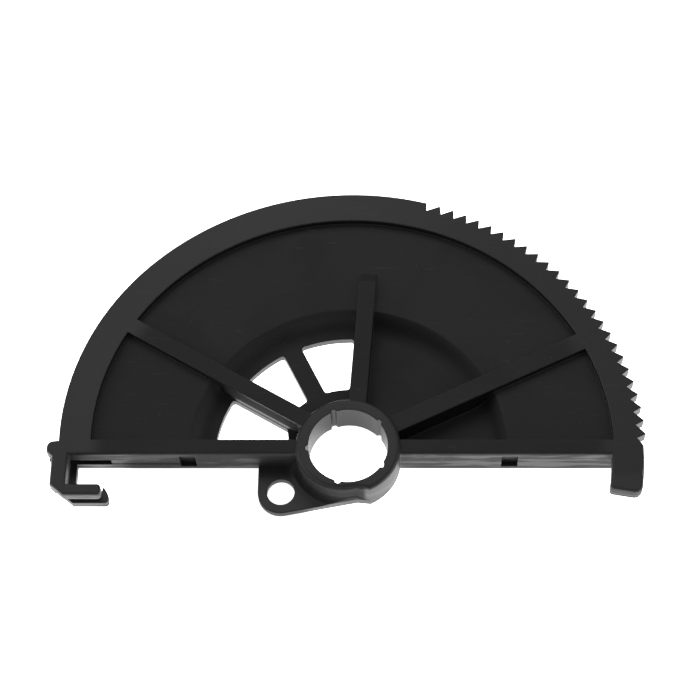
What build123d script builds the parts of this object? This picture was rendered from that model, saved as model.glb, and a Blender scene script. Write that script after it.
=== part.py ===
from build123d import *
import os
from math import asin, atan2, cos, degrees, hypot, pi, radians, sin, sqrt

os.makedirs("parts", exist_ok=True)

# Sizes in millimetres and degrees. The origin is the bore's axis on the back
# face, +Z runs along the bore towards the ribbed front, and +X follows the bar.

# Rim and its layers
rim_r = 69.4          # outside of the rim and the tooth tips
rim_w = 7.5           # width of the rim's front face
body_t = 7.9          # back face to the front of the rim and ribs
front_t = 3.4         # front flange, the layer that carries the teeth
back_t = 2.2          # back flange
groove_d = 4.0        # depth of the cable groove between the flanges
run_angle = 133.0     # the plain rim is a circle up to here
run_shift = 4.7       # then its arc is struck from a centre moved this far out

# Ratchet teeth
tooth_count = 25
pitch_angle = 2.867
first_tip_angle = 71.55
tooth_depth = 2.1
steep_share = 0.27    # share of the pitch taken by the steep flank
land_share = 0.05     # share of the pitch left flat on the tip
land_drop = 0.06      # the flat's far end lies this much further in
step_angle = 2.9      # from the first tip to the plain rim
step_lean_angle = 0.5

# Straight stop tab below the last tooth
tab_step = 0.65       # the tab's outside lies this much inside the tooth tips
tab_end_angle = -9.85
tab_w = 7.45
tab_corner_out = 2.0
tab_corner_in = 0.8
shoulder_angle = 0.2

# Rounding of the front edge along bar, hook and tab
edge_r = 0.6

# Bar and ribs
bar_w = 3.75
rib_w = 4.0
left_rib_angle = 149.3
left_rib_off = -1.0
up_rib_angle = 86.3
up_rib_off = -1.33
up_rib_end = 44.6
up_rib_slope = 3.0    # length of the ramp at this rib's end
right_rib_angle = 26.2
right_rib_off = 0.6

# Dished web
web_t = 2.0
recess = 1.6          # from the rim's face down to the outer web
dish_r = 37.5         # outer edge of the dish
dish_slope = 0.8      # steepness where the dish meets the outer web
back_lean = 1.15      # the dish's back lies this much further out than its front
floor_r = 32.2        # inner floor of the dish

# Windows through the dish floor
win_out_r = 31.7
win_in_r = 17.9
win_a_in = 14.1
spoke_angle = 116.4
spoke_w = 4.6
win_gap = 0.5
win_corner = 0.8

# Hub and bore
hub_r = 12.3
low_r = 11.05         # the hub's lower left side is struck with this radius
low_end_angle = -72.5
corner_angle = -64.6  # the hub's corner at the end of its short flat
hub_h = 8.7
hub_edge = 1.0        # rounding of the hub's front edge
bore_r = 9.3
notch_count = 5
notch_angle = 40.0
notch_r = 0.75
flat_at = 11.0        # distance of the lug's straight edge from the axis
blend_r = 2.6         # rounding between the hub and the lug

# Groove and recesses in the bar's lower side
pocket_len = 9.7      # the groove is deep for this length from the hook
pocket_d = 1.4
line_d = 0.15         # then shallow as far as the recess
block_x = 37.7        # centre of the recess on each side of the hub
block_w = 3.8
block_low = 1.2       # height of the recess's lower side above the back face
block_h = 5.4
block_d = 1.3

# Lug for the spring
lug_x = -15.8
lug_y = -8.8
lug_r = 5.4
lug_hole_r = 3.25
lug_t = 1.8

# Cable hook at the plain end
hook_step = 1.42      # the hook's outside lies this much outside the rim's end
hook_post_w = 3.8
hook_arm_top = -9.3
hook_arm_w = 2.9
hook_len = 8.2
hook_bevel = 3.3
hook_back_in = 1.5    # the hook's back flange stands this much further in
hook_back_out = 1.2   # and reaches this much further at its tip
hook_back_up = 0.4
hook_groove_d = 1.8   # depth of the cable groove round the hook's outside
hook_groove_up = 0.9  # below the arm it is this much wider
lip_h = 1.5           # lip on the back flange's tip
lip_w = 1.5
nose_x = 1.4
nose_h = 4.1


def at(r, angle):
    return (r * cos(radians(angle)), r * sin(radians(angle)))


rim_in_r = rim_r - rim_w
tab_r = rim_r - tab_step
tab_in_r = tab_r - tab_w
root_r = rim_r - tooth_depth
groove_r = rim_r - groove_d
gap_z0 = back_t
gap_z1 = body_t - front_t
half_bar = bar_w / 2
outer_z = body_t - recess
arm_low = hook_arm_top - hook_arm_w
run_c = at(run_shift, run_angle)
run_end_x = run_c[0] - sqrt((rim_r - run_shift)**2 - (half_bar - run_c[1])**2)
hook_out_x = run_end_x - hook_step
hook_in_x = hook_out_x + hook_post_w
pocket_end = hook_in_x + pocket_len
over = 2.0            # how far the cutting shapes reach past the part


def second_arc(r):
    # the flatter arc that leads the rim down to the top of the bar
    arc_r = r - run_shift
    end_x = run_c[0] - sqrt(arc_r**2 - (half_bar - run_c[1])**2)
    last = pi - asin((half_bar - run_c[1]) / arc_r)
    mid = (last + radians(run_angle)) / 2
    mid_p = (run_c[0] + arc_r * cos(mid), run_c[1] + arc_r * sin(mid))
    ThreePointArc(at(r, run_angle), mid_p, (end_x, half_bar))
    return (end_x, half_bar)


def plain_run(r):
    # the plain rim at radius r, from the step to the bar
    step = first_tip_angle + step_angle
    ThreePointArc(at(r, step), at(r, (step + run_angle) / 2), at(r, run_angle))
    return second_arc(r)


def hook_outline(start, in_by, up_by, out_by):
    # nose, column, bevelled corner and arm, back to the bar's lower side
    in_x = hook_in_x + in_by
    tip_x = hook_in_x + hook_len + out_by
    low = arm_low + up_by
    bevel = hook_bevel + in_by
    nose_top = (hook_out_x - nose_x * 0.1, half_bar - 0.2)
    nose_mid = (hook_out_x - nose_x, half_bar - nose_h * 0.42)
    nose_end = (hook_out_x - nose_x, half_bar - nose_h * 0.68)
    column_top = (hook_out_x, half_bar - nose_h)
    column_low = (hook_out_x, low + bevel * 0.85)
    corner = (hook_out_x + bevel, low)
    Line(start, nose_top)
    ThreePointArc(nose_top, (nose_mid[0] + nose_x * 0.25, half_bar - nose_h * 0.18), nose_mid)
    Polyline(
        nose_mid,
        nose_end,
        column_top,
        column_low,
        corner,
        (tip_x, low),
        (tip_x, hook_arm_top),
        (in_x, hook_arm_top),
        (in_x, -half_bar),
    )


def rib_shape(angle, offset, width, r_start, r_end):
    # a straight rib from r_start to r_end, moved sideways by offset
    with BuildSketch() as rib:
        with Locations(Location((0, 0, 0), (0, 0, angle))):
            with Locations(((r_start + r_end) / 2, offset)):
                Rectangle(r_end - r_start, width)
    return rib.sketch


# Front layer: plain rim, teeth, tab, bar and hook in one outline
with BuildSketch() as front_plan:
    with BuildLine():
        tab_foot_in = at(tab_in_r, tab_end_angle)
        tab_foot_out = at(tab_r, tab_end_angle)
        shoulder = at(tab_r, shoulder_angle)
        Line(tab_foot_in, tab_foot_out)
        ThreePointArc(tab_foot_out, at(tab_r, (tab_end_angle + shoulder_angle) / 2), shoulder)
        here = shoulder
        for i in range(tooth_count - 1, -1, -1):
            tip = first_tip_angle - i * pitch_angle
            foot = at(root_r, tip - steep_share * pitch_angle)
            edge = at(rim_r, tip)
            land = at(rim_r - land_drop, tip + land_share * pitch_angle)
            Line(here, foot)
            Line(foot, edge)
            Line(edge, land)
            here = land
        step_foot = at(root_r, first_tip_angle + step_angle - step_lean_angle)
        step_top = at(rim_r, first_tip_angle + step_angle)
        Line(here, step_foot)
        Line(step_foot, step_top)
        rim_end = plain_run(rim_r)
        hook_outline(rim_end, 0, 0, 0)
        corner_x = sqrt(tab_in_r**2 - half_bar**2)
        corner_a = degrees(asin(-half_bar / tab_in_r))
        Line((hook_in_x, -half_bar), (corner_x, -half_bar))
        ThreePointArc((corner_x, -half_bar), at(tab_in_r, (corner_a + tab_end_angle) / 2), tab_foot_in)
    make_face()
    foot_corners = front_plan.vertices().filter_by(lambda v: v.Y < tab_foot_in[1] + 0.01 and v.X > 0)
    fillet(foot_corners.sort_by(Axis.X)[-1], tab_corner_out)
    fillet(front_plan.vertices().sort_by_distance(tab_foot_in)[0], tab_corner_in)
    arm_end = hook_in_x + hook_len
    arm_tip = front_plan.vertices().filter_by(lambda v: abs(v.X - arm_end) < 0.01)
    fillet(arm_tip, hook_arm_w * 0.3)

# Back layer: the same without teeth and tab
with BuildSketch() as back_plan:
    with BuildLine():
        side_x = sqrt(groove_r**2 - half_bar**2)
        side_a = -degrees(asin(half_bar / groove_r))
        step = first_tip_angle + step_angle
        ThreePointArc((side_x, -half_bar), at(groove_r, (side_a + step) / 2), at(groove_r, step))
        Line(at(groove_r, step), at(rim_r, step))
        rim_end = plain_run(rim_r)
        hook_outline(rim_end, hook_back_in, hook_back_up, hook_back_out)
        Line((hook_in_x + hook_back_in, -half_bar), (side_x, -half_bar))
    make_face()
    back_end = hook_in_x + hook_len + hook_back_out
    back_tip = back_plan.vertices().filter_by(lambda v: abs(v.X - back_end) < 0.01)
    fillet(back_tip, hook_arm_w * 0.3)
    lip_x = back_end - hook_arm_w * 0.1
    with BuildLine():
        Polyline(
            (lip_x, hook_arm_top - lip_h),
            (lip_x, hook_arm_top),
            (lip_x - lip_w * 0.5, hook_arm_top + lip_h * 0.8),
            (lip_x - lip_w * 0.7, hook_arm_top + lip_h),
            (lip_x - lip_w, hook_arm_top),
            (lip_x - lip_w, hook_arm_top - lip_h),
            close=True,
        )
    make_face()

# Middle layer: the floor of the cable groove
with BuildSketch() as core_plan:
    with BuildLine():
        ThreePointArc((side_x, -half_bar), at(groove_r, (side_a + step) / 2), at(groove_r, step))
        core_end = plain_run(groove_r)
        Line(core_end, (core_end[0], -half_bar))
        Line((core_end[0], -half_bar), (side_x, -half_bar))
    make_face()

# The hook's own part of that floor
core_out_x = hook_out_x + hook_groove_d
core_low = arm_low + hook_groove_d
core_tip_x = hook_in_x + hook_len - hook_groove_d / 2
with BuildSketch() as hook_core_plan:
    with BuildLine():
        Polyline(
            (hook_in_x, -half_bar),
            (core_out_x, -half_bar),
            (core_out_x, core_low + hook_bevel / 2),
            (core_out_x + hook_bevel / 2, core_low),
            (core_tip_x, core_low),
            (core_tip_x, hook_arm_top),
            (hook_in_x, hook_arm_top),
            close=True,
        )
    make_face()

# Everything above the bar and inside the rim, less the ribs
with BuildSketch() as inside_plan:
    with BuildLine():
        in_start = (sqrt(rim_in_r**2 - half_bar**2), half_bar)
        in_a = degrees(asin(half_bar / rim_in_r))
        ThreePointArc(in_start, at(rim_in_r, (in_a + run_angle) / 2), at(rim_in_r, run_angle))
        in_end = second_arc(rim_in_r)
        Line(in_end, in_start)
    make_face()

with BuildSketch() as rib_front_plan:
    add(rib_shape(left_rib_angle, left_rib_off, rib_w, 0, rim_r))
    add(rib_shape(up_rib_angle, up_rib_off, rib_w, 0, up_rib_end))
    add(rib_shape(right_rib_angle, right_rib_off, rib_w * 1.1, 0, rim_r))

with BuildSketch() as rib_back_plan:
    add(rib_shape(left_rib_angle, left_rib_off, rib_w, 0, rim_r))
    add(rib_shape(up_rib_angle, up_rib_off, rib_w, 0, rim_r))
    add(rib_shape(right_rib_angle, right_rib_off, rib_w * 1.1, 0, rim_r))

# Space in front of the dished web
with BuildPart() as front_space:
    with BuildSketch(Plane.XZ):
        with BuildLine():
            Line((0, web_t), (floor_r, web_t))
            Spline((floor_r, web_t), (dish_r, outer_z), tangents=((1, 0), (1, dish_slope)))
            Polyline(
                (dish_r, outer_z),
                (rim_r, outer_z),
                (rim_r, body_t + over),
                (0, body_t + over),
                (0, web_t),
            )
        make_face()
    revolve(axis=Axis.Z)
    with BuildSketch():
        add(inside_plan.sketch)
    extrude(amount=body_t + 2 * over, mode=Mode.INTERSECT)
    with BuildSketch():
        add(rib_front_plan.sketch)
    extrude(amount=body_t + 2 * over, mode=Mode.SUBTRACT)
    with BuildSketch():
        Circle(hub_r - hub_edge)
    extrude(amount=body_t + 2 * over, mode=Mode.SUBTRACT)

# Space behind the outer web
with BuildPart() as back_space:
    with BuildSketch(Plane.XZ):
        with BuildLine():
            Line((floor_r + back_lean, -over), (floor_r + back_lean, 0))
            Spline(
                (floor_r + back_lean, 0),
                (dish_r + back_lean, outer_z - web_t),
                tangents=((1, 0), (1, dish_slope)),
            )
            Polyline(
                (dish_r + back_lean, outer_z - web_t),
                (rim_r, outer_z - web_t),
                (rim_r, -over),
                (floor_r + back_lean, -over),
            )
        make_face()
    revolve(axis=Axis.Z)
    with BuildSketch(Plane.XY.offset(-2 * over)):
        add(inside_plan.sketch)
    extrude(amount=body_t + 2 * over, mode=Mode.INTERSECT)
    with BuildSketch(Plane.XY.offset(-2 * over)):
        add(rib_back_plan.sketch)
    extrude(amount=body_t + 2 * over, mode=Mode.SUBTRACT)

# Windows: one beside the bar, two each side of the spoke
with BuildSketch() as ring_plan:
    Circle(win_out_r)
    Circle(win_in_r, mode=Mode.SUBTRACT)


def beside(angle, offset, r):
    # a point at distance r along a line of the given angle, moved sideways
    x, y = at(r, angle)
    return (x - offset * sin(radians(angle)), y + offset * cos(radians(angle)))


far = 2 * win_out_r
left_low = left_rib_off + rib_w / 2 + win_gap * 0.2
left_high = left_rib_off - rib_w / 2 - win_gap * 0.2
up_left = up_rib_off + rib_w / 2 + win_gap
spoke_half = spoke_w / 2
with BuildSketch() as window_a:
    Circle(win_out_r)
    with BuildSketch(mode=Mode.INTERSECT):
        with BuildLine():
            Polyline(
                (-win_a_in, half_bar + win_gap),
                (-far, half_bar + win_gap),
                beside(left_rib_angle, left_low, far),
                beside(left_rib_angle, left_low, win_a_in / cos(radians(180 - left_rib_angle))),
                close=True,
            )
        make_face()
    fillet(window_a.vertices(), win_corner)

with BuildSketch() as window_b:
    add(ring_plan.sketch)
    with BuildSketch(mode=Mode.INTERSECT):
        with BuildLine():
            Polyline(
                beside(left_rib_angle, left_high, win_in_r * 0.7),
                beside(left_rib_angle, left_high, far),
                beside(spoke_angle, spoke_half, far),
                beside(spoke_angle, spoke_half, win_in_r * 0.7),
                close=True,
            )
        make_face()
    fillet(window_b.vertices(), win_corner)

with BuildSketch() as window_c:
    add(ring_plan.sketch)
    with BuildSketch(mode=Mode.INTERSECT):
        with BuildLine():
            Polyline(
                beside(spoke_angle, -spoke_half, win_in_r * 0.7),
                beside(spoke_angle, -spoke_half, far),
                beside(up_rib_angle, up_left, far),
                beside(up_rib_angle, up_left, win_in_r * 0.7),
                close=True,
            )
        make_face()
    fillet(window_c.vertices(), win_corner)

# Lug: a thin plate at the back, round about its hole and running into the hub
lug_dist = hypot(lug_x, lug_y)
low_dir = atan2(-lug_y, -lug_x) - asin((flat_at - lug_r) / lug_dist) - pi / 2
low_p = (lug_x + lug_r * cos(low_dir), lug_y + lug_r * sin(low_dir))
low_q = (flat_at * cos(low_dir), flat_at * sin(low_dir))
hub_corner = at(hub_r, corner_angle)
with BuildSketch() as lug_plan:
    with BuildLine():
        Polyline(
            (lug_x - lug_r, 0),
            (lug_x - lug_r, lug_y),
            (lug_x, lug_y),
            low_p,
            low_q,
            hub_corner,
            (0, 0),
            close=True,
        )
    make_face()
    with Locations((lug_x, lug_y)):
        Circle(lug_r)

# Hub, standing a little above the ribs, with a rounded front edge. Its lower left
# side is struck from a centre further left and ends in a short flat.
low_c = low_r - hub_r
low_mid_angle = (low_end_angle - 180) / 2


def low_side(angle):
    x, y = at(low_r, angle)
    return (low_c + x, y)


with BuildPart() as hub:
    with BuildSketch():
        with BuildLine():
            ThreePointArc(hub_corner, at(hub_r, 45), (-hub_r, 0))
            ThreePointArc((-hub_r, 0), low_side(low_mid_angle), low_side(low_end_angle))
            Line(low_side(low_end_angle), hub_corner)
        make_face()
    extrude(amount=hub_h)
    fillet(hub.faces().sort_by(Axis.Z)[-1].edges(), hub_edge)

# Rounding between the hub's lower left side and the lug
sink = 0.05
bow = blend_r * (1 - cos(radians(45)))
with BuildPart() as blend:
    with BuildSketch(Plane(origin=(low_c, 0, 0), x_dir=(1, 0, 0), z_dir=(0, -1, 0))):
        with BuildLine():
            ThreePointArc(
                (low_r + blend_r, lug_t - sink),
                (low_r + bow, lug_t + bow),
                (low_r - sink, lug_t + blend_r),
            )
            Polyline(
                (low_r - sink, lug_t + blend_r),
                (low_r - blend_r / 3, lug_t + blend_r),
                (low_r - blend_r / 3, lug_t / 2),
                (low_r + blend_r, lug_t / 2),
                (low_r + blend_r, lug_t - sink),
            )
        make_face()
    revolve(axis=Axis((low_c, 0, 0), (0, 0, 1)))
    with BuildSketch():
        add(lug_plan.sketch)
    extrude(amount=lug_t + blend_r + over, mode=Mode.INTERSECT)

# Front layer with its lower and side edges rounded
with BuildPart() as front_layer:
    with BuildSketch(Plane.XY.offset(gap_z1)):
        add(front_plan.sketch)
    extrude(amount=front_t)
    rim_edges = front_layer.faces().sort_by(Axis.Z)[-1].edges()
    low_edges = rim_edges.filter_by(lambda e: e.center().Y < shoulder[1] and e.center().Y < half_bar)
    fillet(low_edges, edge_r)

# Ramp at the end of the upright rib
ramp_dir = (cos(radians(up_rib_angle)), sin(radians(up_rib_angle)), 0)
ramp_at = (-up_rib_off * ramp_dir[1], up_rib_off * ramp_dir[0], 0)
ramp_plane = Plane(origin=ramp_at, x_dir=ramp_dir, z_dir=(ramp_dir[1], -ramp_dir[0], 0))
with BuildPart() as ramp:
    with BuildSketch(ramp_plane):
        with BuildLine():
            Polyline(
                (up_rib_end - 1, outer_z - 0.5),
                (up_rib_end - 1, body_t),
                (up_rib_end, body_t),
                (up_rib_end + up_rib_slope, outer_z),
                (up_rib_end + up_rib_slope, outer_z - 0.5),
                close=True,
            )
        make_face()
    extrude(amount=rib_w / 2, both=True)

with BuildPart() as sector:
    with BuildSketch():
        add(back_plan.sketch)
    extrude(amount=back_t)
    with BuildSketch(Plane.XY.offset(gap_z0)):
        add(core_plan.sketch)
        add(hook_core_plan.sketch)
    extrude(amount=gap_z1 - gap_z0)
    add(front_layer.part)
    add(front_space.part, mode=Mode.SUBTRACT)
    add(back_space.part, mode=Mode.SUBTRACT)
    add(ramp.part)
    with BuildSketch():
        add(lug_plan.sketch)
    extrude(amount=lug_t)
    add(blend.part)
    add(hub.part)
    for plan in (window_a, window_b, window_c):
        with BuildSketch(Plane.XY.offset(-over)):
            add(plan.sketch)
        extrude(amount=web_t + 2 * over, mode=Mode.SUBTRACT)
    # the hook's groove is wider below the arm
    with BuildSketch(Plane.XY.offset(gap_z0)):
        with Locations(((hook_out_x + back_end) / 2, core_low - hook_arm_w)):
            Rectangle(back_end - hook_out_x + over, 2 * hook_arm_w)
    extrude(amount=gap_z1 - gap_z0 + hook_groove_up, mode=Mode.SUBTRACT)
    # groove along the bar's lower side, deep next to the hook, and two recesses
    with BuildSketch(Plane.XY.offset(gap_z0)):
        with Locations(((core_end[0] + pocket_end) / 2, -half_bar)):
            Rectangle(pocket_end - core_end[0], 2 * pocket_d)
        with Locations(((pocket_end - block_x) / 2, -half_bar)):
            Rectangle(-block_x - pocket_end, 2 * line_d)
    extrude(amount=gap_z1 - gap_z0, mode=Mode.SUBTRACT)
    with BuildSketch(Plane.XY.offset(block_low)):
        with Locations((-block_x, -half_bar), (block_x, -half_bar)):
            Rectangle(block_w, 2 * block_d)
    extrude(amount=block_h, mode=Mode.SUBTRACT)
    # bore with its small grooves
    with BuildSketch(Plane.XY.offset(-over)):
        Circle(bore_r)
        with PolarLocations(bore_r - 0.1, notch_count, start_angle=notch_angle):
            Circle(notch_r)
    extrude(amount=hub_h + 2 * over, mode=Mode.SUBTRACT)
    with BuildSketch(Plane.XY.offset(-over)):
        with Locations((lug_x, lug_y)):
            Circle(lug_hole_r)
    extrude(amount=lug_t + 2 * over, mode=Mode.SUBTRACT)

sector.part.label = "sector_gear"
export_step(sector.part, "parts/sector_gear.step")
print("volume", round(sector.part.volume), "solids", len(sector.part.solids()))
box = sector.part.bounding_box()
print("size", round(box.size.X, 2), round(box.size.Y, 2), round(box.size.Z, 2))
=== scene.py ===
import math

import bpy
from mathutils import Matrix, Vector

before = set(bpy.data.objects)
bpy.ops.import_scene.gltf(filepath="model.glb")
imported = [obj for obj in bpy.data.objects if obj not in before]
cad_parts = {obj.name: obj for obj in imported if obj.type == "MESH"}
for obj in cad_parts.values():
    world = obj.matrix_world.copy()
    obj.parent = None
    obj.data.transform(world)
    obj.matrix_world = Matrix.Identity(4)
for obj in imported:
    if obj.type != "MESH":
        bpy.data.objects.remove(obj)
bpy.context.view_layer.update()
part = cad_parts["sector_gear"]
print("frame loaded:", part.name)


# small node helpers

def fillSocket(tree, socket, value):
    if isinstance(value, bpy.types.NodeSocket):
        tree.links.new(value, socket)
    else:
        socket.default_value = value


def addNode(tree, kind, place, **inputs):
    node = tree.nodes.new(kind)
    node.location = place
    for name, value in inputs.items():
        fillSocket(tree, node.inputs[name], value)
    return node


def addMath(tree, job, place, first, second=None, clamp=False):
    node = tree.nodes.new("ShaderNodeMath")
    node.operation = job
    node.use_clamp = clamp
    node.location = place
    fillSocket(tree, node.inputs[0], first)
    if second is not None:
        fillSocket(tree, node.inputs[1], second)
    return node.outputs[0]


def addVectorMath(tree, job, place, first, second=None):
    node = tree.nodes.new("ShaderNodeVectorMath")
    node.operation = job
    node.location = place
    fillSocket(tree, node.inputs[0], first)
    if second is not None:
        fillSocket(tree, node.inputs[1], second)
    return node


def addSplit(tree, place, vector):
    node = tree.nodes.new("ShaderNodeSeparateXYZ")
    node.location = place
    tree.links.new(vector, node.inputs[0])
    return node.outputs


def addRange(tree, place, value, fromLow, fromHigh, toLow=0.0, toHigh=1.0):
    node = tree.nodes.new("ShaderNodeMapRange")
    node.location = place
    node.interpolation_type = "SMOOTHSTEP"
    tree.links.new(value, node.inputs["Value"])
    ends = {"From Min": fromLow, "From Max": fromHigh, "To Min": toLow, "To Max": toHigh}
    for name, number in ends.items():
        fillSocket(tree, node.inputs[name], number)
    return node.outputs["Result"]


def addMix(tree, place, share, first, second):
    node = tree.nodes.new("ShaderNodeMix")
    node.data_type = "RGBA"
    node.location = place
    tree.links.new(share, node.inputs[0])
    fillSocket(tree, node.inputs[6], first)  # 6 and 7 are the colour sockets
    fillSocket(tree, node.inputs[7], second)
    return node.outputs[2]


def addNoise(tree, place, vector, scale, **inputs):
    return addNode(tree, "ShaderNodeTexNoise", place, Vector=vector, Scale=scale, **inputs)


def addLay(tree, place, vector, stretch, turn=0.0):
    # stretches a pattern, and turns it about the part's bore axis
    return addNode(tree, "ShaderNodeMapping", place, Vector=vector, Scale=stretch,
                   Rotation=(0.0, 0.0, turn)).outputs["Vector"]


def addBoreDistance(tree, place, point):
    # how far a point lies from the axis of the bore
    x, y = place
    flat = addVectorMath(tree, "MULTIPLY", (x, y), point, (1.0, 1.0, 0.0))
    return addVectorMath(tree, "LENGTH", (x + 200, y), flat.outputs["Vector"]).outputs["Value"]


def newGroup(name, inputs, outputs):
    # inputs: (name, default), where a default of None makes a vector; outputs: (name, socket kind)
    tree = bpy.data.node_groups.new(name, "ShaderNodeTree")
    for title, value in inputs:
        kind = "NodeSocketVector" if value is None else "NodeSocketFloat"
        socket = tree.interface.new_socket(name=title, in_out="INPUT", socket_type=kind)
        if value is not None:
            socket.default_value = value
    for title, kind in outputs:
        tree.interface.new_socket(name=title, in_out="OUTPUT", socket_type=kind)
    start = addNode(tree, "NodeGroupInput", (-1200, 0))
    end = addNode(tree, "NodeGroupOutput", (900, 0))
    return tree, start, end


def placeGroup(tree, group, place, **inputs):
    node = tree.nodes.new("ShaderNodeGroup")
    node.node_tree = group
    node.location = place
    node.width = 200
    for name, value in inputs.items():
        fillSocket(tree, node.inputs[name], value)
    return node


# effects for the finish, each with its values beside it, in millimetres unless a note says otherwise

skinLook = {
    "grain": {"Detail": 3.0, "Roughness": 0.62},
    "flow": {"Detail": 4.0, "Roughness": 0.5},
    "flowEdge": (0.3, 0.7),
    "fibre": {"Detail": 5.0, "Roughness": 0.7},
    "fibreScale": 0.55,
    "fibreStretch": (1.0, 5.0, 1.0),
    "fibreTurn": 0.5,              # radians
    "fibreEdge": (0.52, 0.75),
}


def makeMouldedSkin(look):
    # fine spark-eroded grain and the slow cloudy flow of moulded nylon
    tree, start, end = newGroup(
        "mouldedSkin",
        [("Place", None), ("Grain Size", 0.3), ("Flow Size", 26.0), ("Swirl", 0.6)],
        [("Grain", "NodeSocketFloat"), ("Flow", "NodeSocketFloat"), ("Fibre", "NodeSocketFloat")])
    link = tree.links.new
    place = start.outputs["Place"]
    grainScale = addMath(tree, "DIVIDE", (-900, 300), 1.0, start.outputs["Grain Size"])
    grain = addNoise(tree, (-600, 300), place, grainScale, **look["grain"])
    flowScale = addMath(tree, "DIVIDE", (-900, 0), 1.0, start.outputs["Flow Size"])
    flow = addNoise(tree, (-600, 0), place, flowScale, Distortion=start.outputs["Swirl"], **look["flow"])
    lay = addLay(tree, (-900, -300), place, look["fibreStretch"], look["fibreTurn"])
    fibre = addNoise(tree, (-600, -300), lay, look["fibreScale"], **look["fibre"])
    link(grain.outputs["Fac"], end.inputs["Grain"])
    link(addRange(tree, (-200, 0), flow.outputs["Fac"], *look["flowEdge"]), end.inputs["Flow"])
    link(addRange(tree, (-200, -300), fibre.outputs["Fac"], *look["fibreEdge"]), end.inputs["Fibre"])
    return tree


edgeLook = {
    "bevelSamples": 6,
    "patches": {"Detail": 4.0, "Roughness": 0.65},
    "patchEdge": (0.4, 0.62),
    "leastWear": 0.15,
}


def makeEdgeWear(look):
    # softened normals at the corners, and where handling has polished them
    tree, start, end = newGroup(
        "edgeWear",
        [("Place", None), ("Radius", 0.0004), ("Spread", 0.18), ("Break Up", 2.2)],  # radius in metres
        [("Mask", "NodeSocketFloat"), ("Normal", "NodeSocketVector")])
    link = tree.links.new
    soft = addNode(tree, "ShaderNodeBevel", (-800, 200), Radius=start.outputs["Radius"])
    soft.samples = look["bevelSamples"]
    plain = addNode(tree, "ShaderNodeNewGeometry", (-800, 0))
    facing = addVectorMath(tree, "DOT_PRODUCT", (-550, 100), soft.outputs["Normal"], plain.outputs["Normal"])
    turned = addMath(tree, "SUBTRACT", (-350, 100), 1.0, facing.outputs["Value"], clamp=True)
    corner = addRange(tree, (-150, 100), turned, 0.0, start.outputs["Spread"])
    patches = addNoise(tree, (-550, -250), start.outputs["Place"], start.outputs["Break Up"],
                       **look["patches"])
    broken = addRange(tree, (-150, -250), patches.outputs["Fac"], *look["patchEdge"], look["leastWear"])
    link(addMath(tree, "MULTIPLY", (150, 0), corner, broken, clamp=True), end.inputs["Mask"])
    link(soft.outputs["Normal"], end.inputs["Normal"])
    return tree


handlingLook = {
    "lays": ((0.35, 26.0), (-0.9, 18.0)),  # turn in radians, and how long and thin the scuffs are
    "scuffs": {"Detail": 2.0, "Roughness": 0.5},
    "scuffEdge": (0.66, 0.74),
    "areaScale": 0.08,
    "areaDetail": 2.0,
    "areaEdge": (0.45, 0.62),
    "leastArea": 0.1,
    "speckEdge": (0.03, 0.1),
    "speckChance": 0.9,
}


def makeHandling(look):
    # thin scuffs in two directions and a few specks of dust
    tree, start, end = newGroup(
        "handling",
        [("Place", None), ("Scuff Size", 0.35), ("Dust Size", 1.6)],
        [("Scuffs", "NodeSocketFloat"), ("Dust", "NodeSocketFloat")])
    link = tree.links.new
    place = start.outputs["Place"]
    masks = []
    for turn, long in look["lays"]:
        lay = addLay(tree, (-900, 300 * turn), place, (1.0, long, 1.0), turn)
        lines = addNoise(tree, (-650, 300 * turn), lay, start.outputs["Scuff Size"], **look["scuffs"])
        masks.append(addRange(tree, (-400, 300 * turn), lines.outputs["Fac"], *look["scuffEdge"]))
    both = addMath(tree, "MAXIMUM", (-150, 100), masks[0], masks[1])
    where = addNoise(tree, (-650, 500), place, look["areaScale"], Detail=look["areaDetail"])
    area = addRange(tree, (-400, 500), where.outputs["Fac"], *look["areaEdge"], look["leastArea"])
    dustScale = addMath(tree, "DIVIDE", (-900, -500), 1.0, start.outputs["Dust Size"])
    cells = addNode(tree, "ShaderNodeTexVoronoi", (-650, -500), Vector=place, Scale=dustScale, Randomness=1.0)
    speck = addRange(tree, (-400, -500), cells.outputs["Distance"], *look["speckEdge"], 1.0, 0.0)
    chance = addNode(tree, "ShaderNodeSeparateColor", (-400, -700), Color=cells.outputs["Color"])
    few = addMath(tree, "GREATER_THAN", (-150, -700), chance.outputs[0], look["speckChance"])
    link(addMath(tree, "MULTIPLY", (100, 200), both, area), end.inputs["Scuffs"])
    link(addMath(tree, "MULTIPLY", (100, -500), speck, few), end.inputs["Dust"])
    return tree


outsideGreyLook = {
    "frontFade": 0.8,
    "ringFade": 0.4,
    "lugFade": 0.8,
    "acrossRim": (-20.0, 45.0),    # from the middle of the rim to its teeth
    "teethShare": 0.6,             # how much of the grey is left at the teeth
    "evenShare": 0.5,              # the outside gets this much, and the lug twice as much
}


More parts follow.
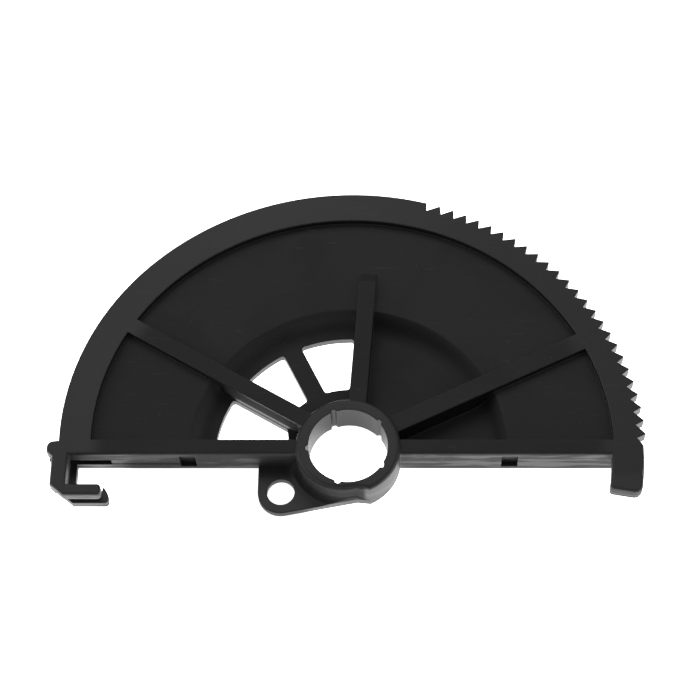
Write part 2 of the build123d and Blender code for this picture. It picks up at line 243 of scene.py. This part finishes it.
def makeOutsideGreyAndLugLight(look):
    # rim, hub ring, hook and tab are a little greyer than the middle, and the lug greyest, which is painted
    # light on the lug where it lies in shade
    tree, start, end = newGroup(
        "outsideGreyAndLugLight",
        [("Place", None), ("Rim Radius", 61.9), ("Fade", 6.0), ("Front Level", 7.6),
         ("Ring Level", 8.1), ("Below Bar", 3.0), ("Lug Level", 2.2)],
        [("Mask", "NodeSocketFloat")])
    given = start.outputs
    distance = addBoreDistance(tree, (-900, 200), given["Place"])
    at = addSplit(tree, (-900, -200), given["Place"])
    inner = addMath(tree, "SUBTRACT", (-700, 0), given["Rim Radius"], given["Fade"])
    rim = addRange(tree, (-450, 200), distance, inner, given["Rim Radius"])
    under = addMath(tree, "SUBTRACT", (-700, 100), given["Front Level"], look["frontFade"])
    front = addRange(tree, (-450, 50), at["Z"], under, given["Front Level"])
    side = addRange(tree, (-450, -50), at["X"], *look["acrossRim"], 1.0, look["teethShare"])
    rim = addMath(tree, "MULTIPLY", (-250, 150), rim, front)
    rim = addMath(tree, "MULTIPLY", (-100, 150), rim, side)
    ringTop = addMath(tree, "ADD", (-700, -100), given["Ring Level"], look["ringFade"])
    ring = addRange(tree, (-450, -150), at["Z"], given["Ring Level"], ringTop)
    down = addMath(tree, "MULTIPLY", (-700, -200), at["Y"], -1.0)
    lower = addMath(tree, "ADD", (-700, -400), given["Below Bar"], given["Fade"])
    below = addRange(tree, (-450, -250), down, given["Below Bar"], lower)
    # the lug below the bar gets the grey a second time: painted light that lifts the lug out of the shade it
    # lies in
    lugTop = addMath(tree, "ADD", (-700, -500), given["Lug Level"], look["lugFade"])
    low = addRange(tree, (-450, -450), at["Z"], given["Lug Level"], lugTop, 1.0, 0.0)
    low = addMath(tree, "MULTIPLY", (-250, -350), low, below)
    outsideShare = addMath(tree, "MAXIMUM", (50, 50), rim, ring)
    outsideShare = addMath(tree, "MAXIMUM", (200, 0), outsideShare, below)
    both = addMath(tree, "ADD", (350, -100), outsideShare, low)
    grey = addMath(tree, "MULTIPLY", (500, -100), both, look["evenShare"])
    tree.links.new(grey, end.inputs["Mask"])
    return tree


paintedShadeFeetLook = {
    "lowSideEnd": -72.5,           # degrees round the bore
    "lowSideFade": (-0.3, 1.3),
    "underBar": (-5.0, -2.0),
    "acrossWindows": (-2.0, 3.0),
    "aboveBar": (2.2, 2.8),
    "fades": {"Bore Radius": 0.6, "Reach": 2.0, "Lug Top": 0.5, "Ring Top": 0.4,
              "Window Inside": 0.8, "Window Outside": 2.0, "Floor Top": 0.9, "Rib Top": 0.4},
}


def makeDullPaintedShadeFeet(look):
    # duller walls with painted shade at the hub's lower left side and at the ribs' feet by the windows
    tree, start, end = newGroup(
        "dullPaintedShadeFeet",
        [("Place", None), ("Bore Radius", 9.6), ("Reach", 16.5), ("Lug Top", 1.8),
         ("Window Inside", 13.0), ("Window Outside", 33.0), ("Floor Top", 3.0),
         ("Ring Top", 8.2), ("Rib Top", 7.2)],
        [("Mask", "NodeSocketFloat")])
    point = start.outputs["Place"]
    lowSideEnd = math.radians(look["lowSideEnd"])
    sideways = (-math.sin(lowSideEnd), math.cos(lowSideEnd), 0.0)
    distance = addBoreDistance(tree, (-900, 300), point)
    past = addVectorMath(tree, "DOT_PRODUCT", (-700, 100), point, sideways).outputs["Value"]
    at = addSplit(tree, (-900, -100), point)

    def edge(height, value, name, before, after):
        level = start.outputs[name]
        far = addMath(tree, "ADD", (-600, height), level, look["fades"][name])
        return addRange(tree, (-400, height), value, level, far, before, after)

    def allOf(height, masks):
        share = masks[0]
        for step, mask in enumerate(masks[1:]):
            share = addMath(tree, "MULTIPLY", (-150 + 120 * step, height), share, mask)
        return share

    atLug = allOf(300, [
        edge(500, distance, "Bore Radius", 0.0, 1.0),
        edge(300, distance, "Reach", 1.0, 0.0),
        addRange(tree, (-400, 100), past, *look["lowSideFade"], 1.0, 0.0),
        addRange(tree, (-400, -100), at["Y"], *look["underBar"], 1.0, 0.0),
        edge(-300, at["Z"], "Lug Top", 0.0, 1.0),
        edge(-400, at["Z"], "Ring Top", 1.0, 0.0)])
    atWindows = allOf(-700, [
        edge(-500, distance, "Window Inside", 0.0, 1.0),
        edge(-700, distance, "Window Outside", 1.0, 0.0),
        addRange(tree, (-400, -900), at["X"], *look["acrossWindows"], 1.0, 0.0),
        addRange(tree, (-400, -1100), at["Y"], *look["aboveBar"], 0.0, 1.0),
        edge(-1300, at["Z"], "Floor Top", 0.0, 1.0),
        edge(-1400, at["Z"], "Rib Top", 1.0, 0.0)])
    tree.links.new(addMath(tree, "MAXIMUM", (250, 0), atLug, atWindows), end.inputs["Mask"])
    return tree


mouldLook = {
    "marks": {"Detail": 1.5, "Roughness": 0.45, "Distortion": 0.5},
    "markStretch": (1.0, 7.0, 1.0),
    "markTurn": 0.09,              # radians
    "markEdge": (0.67, 0.76),
    "bands": {"Detail": 3.0, "Roughness": 0.55, "Distortion": 0.4},
    "bandStretch": (0.5, 1.0, 4.5),
    "bandEdge": (0.4, 0.58),
    "flatFace": (0.6, 0.95),       # how far up a face looks, 1 is straight up
    "sideWall": (0.2, 0.6),
    "barWall": (-1.8, -1.2),
    "besideHub": (11.0, 13.5),
    "hubShare": 0.35,              # how much of the streaks is left near the hub
}


def makeMouldMarks(look):
    # short pale marks where the nylon met in the mould, and dull streaks along the bar's lower wall
    tree, start, end = newGroup(
        "mouldMarks",
        [("Place", None), ("Mark Size", 5.0), ("Streak Size", 9.0)],
        [("Marks", "NodeSocketFloat"), ("Streaks", "NodeSocketFloat"), ("Walls", "NodeSocketFloat")])
    link = tree.links.new
    place = start.outputs["Place"]
    markScale = addMath(tree, "DIVIDE", (-900, 300), 1.0, start.outputs["Mark Size"])
    lay = addLay(tree, (-900, 500), place, look["markStretch"], look["markTurn"])
    dashes = addNoise(tree, (-650, 400), lay, markScale, **look["marks"])
    marks = addRange(tree, (-400, 400), dashes.outputs["Fac"], *look["markEdge"])
    shape = addNode(tree, "ShaderNodeNewGeometry", (-900, -100))
    up = addMath(tree, "ABSOLUTE", (-500, -100), addSplit(tree, (-700, -100), shape.outputs["Normal"])["Z"])
    flatFace = addRange(tree, (-300, 0), up, *look["flatFace"])
    sideWall = addRange(tree, (-300, -200), up, *look["sideWall"], 1.0, 0.0)
    bandScale = addMath(tree, "DIVIDE", (-900, -500), 1.0, start.outputs["Streak Size"])
    along = addLay(tree, (-900, -350), place, look["bandStretch"])
    bands = addNoise(tree, (-650, -400), along, bandScale, **look["bands"])
    dull = addRange(tree, (-400, -400), bands.outputs["Fac"], *look["bandEdge"])
    at = addSplit(tree, (-900, -700), place)
    onBar = addRange(tree, (-400, -700), at["Y"], *look["barWall"], 1.0, 0.0)
    aside = addMath(tree, "ABSOLUTE", (-700, -850), at["X"])
    offHub = addRange(tree, (-400, -850), aside, *look["besideHub"], look["hubShare"])
    dull = addMath(tree, "MULTIPLY", (-150, -500), dull, onBar)
    dull = addMath(tree, "MULTIPLY", (-50, -500), dull, offHub)
    link(addMath(tree, "MULTIPLY", (0, 200), marks, flatFace), end.inputs["Marks"])
    link(addMath(tree, "MULTIPLY", (0, -300), dull, sideWall), end.inputs["Streaks"])
    link(sideWall, end.inputs["Walls"])
    return tree


mouldedSkin = makeMouldedSkin(skinLook)
edgeWear = makeEdgeWear(edgeLook)
handling = makeHandling(handlingLook)
outsideGreyAndLugLight = makeOutsideGreyAndLugLight(outsideGreyLook)
dullPaintedShadeFeet = makeDullPaintedShadeFeet(paintedShadeFeetLook)
mouldMarks = makeMouldMarks(mouldLook)
print("effects made")


# the black moulded nylon of the whole part

blackNylonLook = {
    "deepBlack": (0.0055, 0.0052, 0.0053, 1.0),
    "cloudyBlack": (0.0145, 0.0138, 0.014, 1.0),
    "fibreGrey": (0.024, 0.0232, 0.0235, 1.0),
    "wornGrey": (0.06, 0.058, 0.0587, 1.0),
    "dustGrey": (0.10, 0.098, 0.098, 1.0),
    "outsideAndLugLightGrey": (0.034, 0.0325, 0.033, 1.0),
    "refraction": 1.53,
    "fibreShare": 0.35,
    "outsideGreyShare": 0.9,
    "wearShare": 0.7,
    "scuffShare": 0.2,
    "markShare": 0.22,
    "streakRough": 0.75,
    "roughLow": 0.6,
    "roughHigh": 0.72,
    "rubbedRough": 0.47,
    "wallRough": 0.46,
    "feetRough": 0.95,
    "wornRough": 0.34,
    "scuffRough": 0.1,             # added where there is a scuff
    "flowHeight": 0.0003,          # metres, as the heights and the radius below
    "flowStrength": 0.03,
    "grainHeight": 0.00002,
    "grainStrength": 0.35,
    "scuffDepth": 0.00003,
    "scuffStrength": 0.25,
    "cornerRadius": 0.0005,
}


def makeBlackNylon(look):
    material = bpy.data.materials.new("blackNylon")
    material.use_nodes = True
    tree = material.node_tree
    tree.nodes.clear()
    link = tree.links.new
    output = addNode(tree, "ShaderNodeOutputMaterial", (1300, 0))
    surface = addNode(tree, "ShaderNodeBsdfPrincipled", (1000, 0), IOR=look["refraction"], Metallic=0.0)
    link(surface.outputs["BSDF"], output.inputs["Surface"])

    place = addNode(tree, "ShaderNodeTexCoord", (-1400, 0))
    inMillimetres = addLay(tree, (-1200, 0), place.outputs["Object"], (1000.0, 1000.0, 1000.0))
    skin = placeGroup(tree, mouldedSkin, (-900, 300), Place=inMillimetres)
    wear = placeGroup(tree, edgeWear, (-900, 0), Place=inMillimetres, Radius=look["cornerRadius"])
    use = placeGroup(tree, handling, (-900, -300), Place=inMillimetres)
    outsideGrey = placeGroup(tree, outsideGreyAndLugLight, (-900, -600), Place=inMillimetres)
    moulding = placeGroup(tree, mouldMarks, (-900, -900), Place=inMillimetres)
    paintedShadeFeet = placeGroup(tree, dullPaintedShadeFeet, (-900, -1200), Place=inMillimetres)

    # the outside grey, partly painted light on the lug
    outsideShare = addMath(tree, "MULTIPLY", (-700, 200), outsideGrey.outputs["Mask"], look["outsideGreyShare"])
    fibre = addMath(tree, "MULTIPLY", (-500, 200), skin.outputs["Fibre"], look["fibreShare"])
    worn = addMath(tree, "MULTIPLY", (-500, 0), wear.outputs["Mask"], look["wearShare"])
    scuffed = addMath(tree, "MULTIPLY", (-500, -200), use.outputs["Scuffs"], look["scuffShare"])
    marked = addMath(tree, "MULTIPLY", (-500, -400), moulding.outputs["Marks"], look["markShare"])
    colour = addMix(tree, (-500, 400), skin.outputs["Flow"], look["deepBlack"], look["cloudyBlack"])
    # the deep black laid under the feet mask is painted shade on the hub's lower left wall and the ribs' feet
    # by the windows
    layers = ((-400, outsideShare, "outsideAndLugLightGrey"), (-325, paintedShadeFeet.outputs["Mask"], "deepBlack"),
              (-250, fibre, "fibreGrey"), (0, worn, "wornGrey"), (250, scuffed, "wornGrey"),
              (400, marked, "wornGrey"), (550, use.outputs["Dust"], "dustGrey"))
    for x, share, name in layers:
        colour = addMix(tree, (x, 400), share, colour, look[name])
    link(colour, surface.inputs["Base Color"])

    rough = addRange(tree, (-400, 50), skin.outputs["Flow"], 0.0, 1.0, look["roughLow"], look["roughHigh"])
    most = outsideGreyLook["evenShare"]  # the mask's value on the rim
    rough = addRange(tree, (-250, 50), outsideGrey.outputs["Mask"], 0.0, most, rough, look["rubbedRough"])
    rough = addRange(tree, (-100, 50), moulding.outputs["Walls"], 0.0, 1.0, rough, look["wallRough"])
    rough = addRange(tree, (-50, 50), paintedShadeFeet.outputs["Mask"], 0.0, 1.0, rough, look["feetRough"])
    shine = addMath(tree, "SUBTRACT", (0, 50), rough, look["wornRough"])
    shine = addMath(tree, "MULTIPLY", (150, 50), shine, worn)
    rough = addMath(tree, "SUBTRACT", (300, 50), rough, shine)
    extra = addMath(tree, "MULTIPLY", (300, -100), use.outputs["Scuffs"], look["scuffRough"])
    rough = addMath(tree, "ADD", (450, 50), rough, extra, clamp=True)
    rough = addRange(tree, (600, 50), moulding.outputs["Streaks"], 0.0, 1.0, rough, look["streakRough"])
    link(rough, surface.inputs["Roughness"])

    normal = wear.outputs["Normal"]
    bumps = ((300, skin.outputs["Flow"], "flowStrength", "flowHeight", False),
             (550, skin.outputs["Grain"], "grainStrength", "grainHeight", False),
             (800, use.outputs["Scuffs"], "scuffStrength", "scuffDepth", True))
    for x, height, strength, depth, inward in bumps:
        bump = addNode(tree, "ShaderNodeBump", (x, -350), Strength=look[strength],
                       Distance=look[depth], Height=height, Normal=normal)
        bump.invert = inward
        normal = bump.outputs["Normal"]
    link(normal, surface.inputs["Normal"])
    return material


blackNylon = makeBlackNylon(blackNylonLook)
for slot in part.material_slots:
    slot.material = blackNylon
print("moulded nylon on", part.name, "slots:", len(part.material_slots))


# floor

floorLook = {
    "halfSize": 1.6,               # metres, as the places below
    "squares": 16,
    "gap": 0.00005,                # between the floor and the part's back
    "colour": (0.86, 0.86, 0.86, 1.0),
    "fineScale": 900.0,
    "fineDetail": 2.0,
    "fineShade": 0.985,
    "rough": 0.8,
    "glow": 2.6,                   # brighter than white, it lights the walls that face the camera
    "paintedShadowFade": 0.004,
    # painted shadow: dimmer patches of glow under the left half of the bar, the right half, and the back of
    # the bore
    "paintedShadowPatches": [
        {"place": (-0.031, -0.012), "reach": (0.02, 0.011), "glow": 1.0},
        {"place": (0.036, -0.008), "reach": (0.018, 0.006), "glow": 2.0},
        {"place": (0.001, 0.007), "reach": (0.004, 0.002), "glow": 1.2},
    ],
}


def makeFloorMesh(look):
    half, steps = look["halfSize"], look["squares"]
    row = steps + 1
    side = [-half + 2 * half * i / steps for i in range(row)]
    squares = [(j * row + i, j * row + i + 1, (j + 1) * row + i + 1, (j + 1) * row + i)
               for j in range(steps) for i in range(steps)]
    mesh = bpy.data.meshes.new("paleFloor")
    mesh.from_pydata([(x, y, 0.0) for y in side for x in side], [], squares)
    return mesh


def makePalePaper(look):
    material = bpy.data.materials.new("palePaper")
    material.use_nodes = True
    tree = material.node_tree
    surface = tree.nodes["Principled BSDF"]
    surface.inputs["Roughness"].default_value = look["rough"]
    surface.inputs["Emission Strength"].default_value = look["glow"]
    place = tree.nodes.new("ShaderNodeTexCoord").outputs["Object"]
    at = addSplit(tree, (-1100, 300), place)
    glow = (1.0, 1.0, 1.0, 1.0)
    # the glow is dimmed in patches: painted shadow of the part on the floor, which darkens what the walls
    # reflect
    for step, patch in enumerate(look["paintedShadowPatches"]):
        y = 300 * step
        near = []
        for side, middle, reach in zip("XY", patch["place"], patch["reach"]):
            away = addMath(tree, "SUBTRACT", (-900, y), at[side], middle)
            away = addMath(tree, "ABSOLUTE", (-750, y), away)
            near.append(addRange(tree, (-600, y), away, reach, reach + look["paintedShadowFade"], 1.0, 0.0))
        paintedShadow = addMath(tree, "MULTIPLY", (-400, y), near[0], near[1])
        shadowGlow = (patch["glow"] / look["glow"],) * 3 + (1.0,)
        glow = addMix(tree, (-250, y), paintedShadow, glow, shadowGlow)
    tree.links.new(glow, surface.inputs["Emission Color"])
    fine = addNoise(tree, (-500, 0), place, look["fineScale"], Detail=look["fineDetail"])
    shaded = tuple(look["fineShade"] * c for c in look["colour"][:3]) + (1.0,)
    tone = addMix(tree, (-250, 0), fine.outputs["Fac"], look["colour"], shaded)
    tree.links.new(tone, surface.inputs["Base Color"])
    return material


def makeFloor(look):
    mesh = makeFloorMesh(look)
    mesh.materials.append(makePalePaper(look))
    floor = bpy.data.objects.new("paleFloor", mesh)
    floor.location.z = -look["gap"]
    bpy.context.scene.collection.objects.link(floor)


makeFloor(floorLook)
print("floor laid")


# light

lampAim = (0.0, 0.02, 0.0)
lampLook = {
    "backSoftbox": {"place": (-0.08, 0.75, 0.95), "size": 0.9, "power": 2.1},
    "leftSoftbox": {"place": (-1.0, 0.1, 0.45), "size": 0.9, "power": 2.2},
    "rightSoftbox": {"place": (0.95, -0.05, 0.6), "size": 0.5, "power": 0.8},
}


def makeLamps(look):
    for name, one in look.items():
        light = bpy.data.lights.new(name, "AREA")
        light.shape = "DISK"
        light.size = one["size"]
        light.energy = one["power"]
        lamp = bpy.data.objects.new(name, light)
        lamp.location = one["place"]
        sight = Vector(lampAim) - lamp.location
        lamp.rotation_euler = sight.to_track_quat("-Z", "Y").to_euler()
        bpy.context.scene.collection.objects.link(lamp)


roomLook = {"Color": (0.97, 0.96, 0.97, 1.0), "Strength": 0.25}


def makeRoom(look):
    room = bpy.data.worlds.new("softRoom")
    room.use_nodes = True
    for name, value in look.items():
        room.node_tree.nodes["Background"].inputs[name].default_value = value
    bpy.context.scene.world = room


makeRoom(roomLook)
makeLamps(lampLook)
bpy.context.scene.view_settings.view_transform = "Standard"
print("lamps placed:", len(lampLook))


# camera

cameraLook = {
    "azimuth": 3.76,               # degrees
    "elevation": 61.88,
    "roll": -3.41,
    "distance": 0.46603,           # metres
    "slide": (0.00047, 0.02256),
    "aim": (0.0, 0.0, 0.0079),
    "lens": 102.857,               # millimetres
    "sensor": 36.0,
}


def makeCamera(look):
    a, e, r = (math.radians(look[k]) for k in ("azimuth", "elevation", "roll"))
    back = Vector((math.sin(a) * math.cos(e), -math.cos(a) * math.cos(e), math.sin(e)))
    level = Vector((math.cos(a), math.sin(a), 0.0))
    rise = back.cross(level)
    right = math.cos(r) * level + math.sin(r) * rise
    up = math.cos(r) * rise - math.sin(r) * level
    lens = bpy.data.cameras.new("photoCamera")
    lens.lens = look["lens"]
    lens.sensor_width = look["sensor"]
    camera = bpy.data.objects.new("photoCamera", lens)
    turn = Matrix((right, up, back)).transposed().to_4x4()
    slide = look["slide"][0] * right + look["slide"][1] * up
    place = Vector(look["aim"]) + slide + look["distance"] * back
    camera.matrix_world = Matrix.Translation(place) @ turn
    bpy.context.scene.collection.objects.link(camera)
    bpy.context.scene.camera = camera


makeCamera(cameraLook)
print("camera placed")
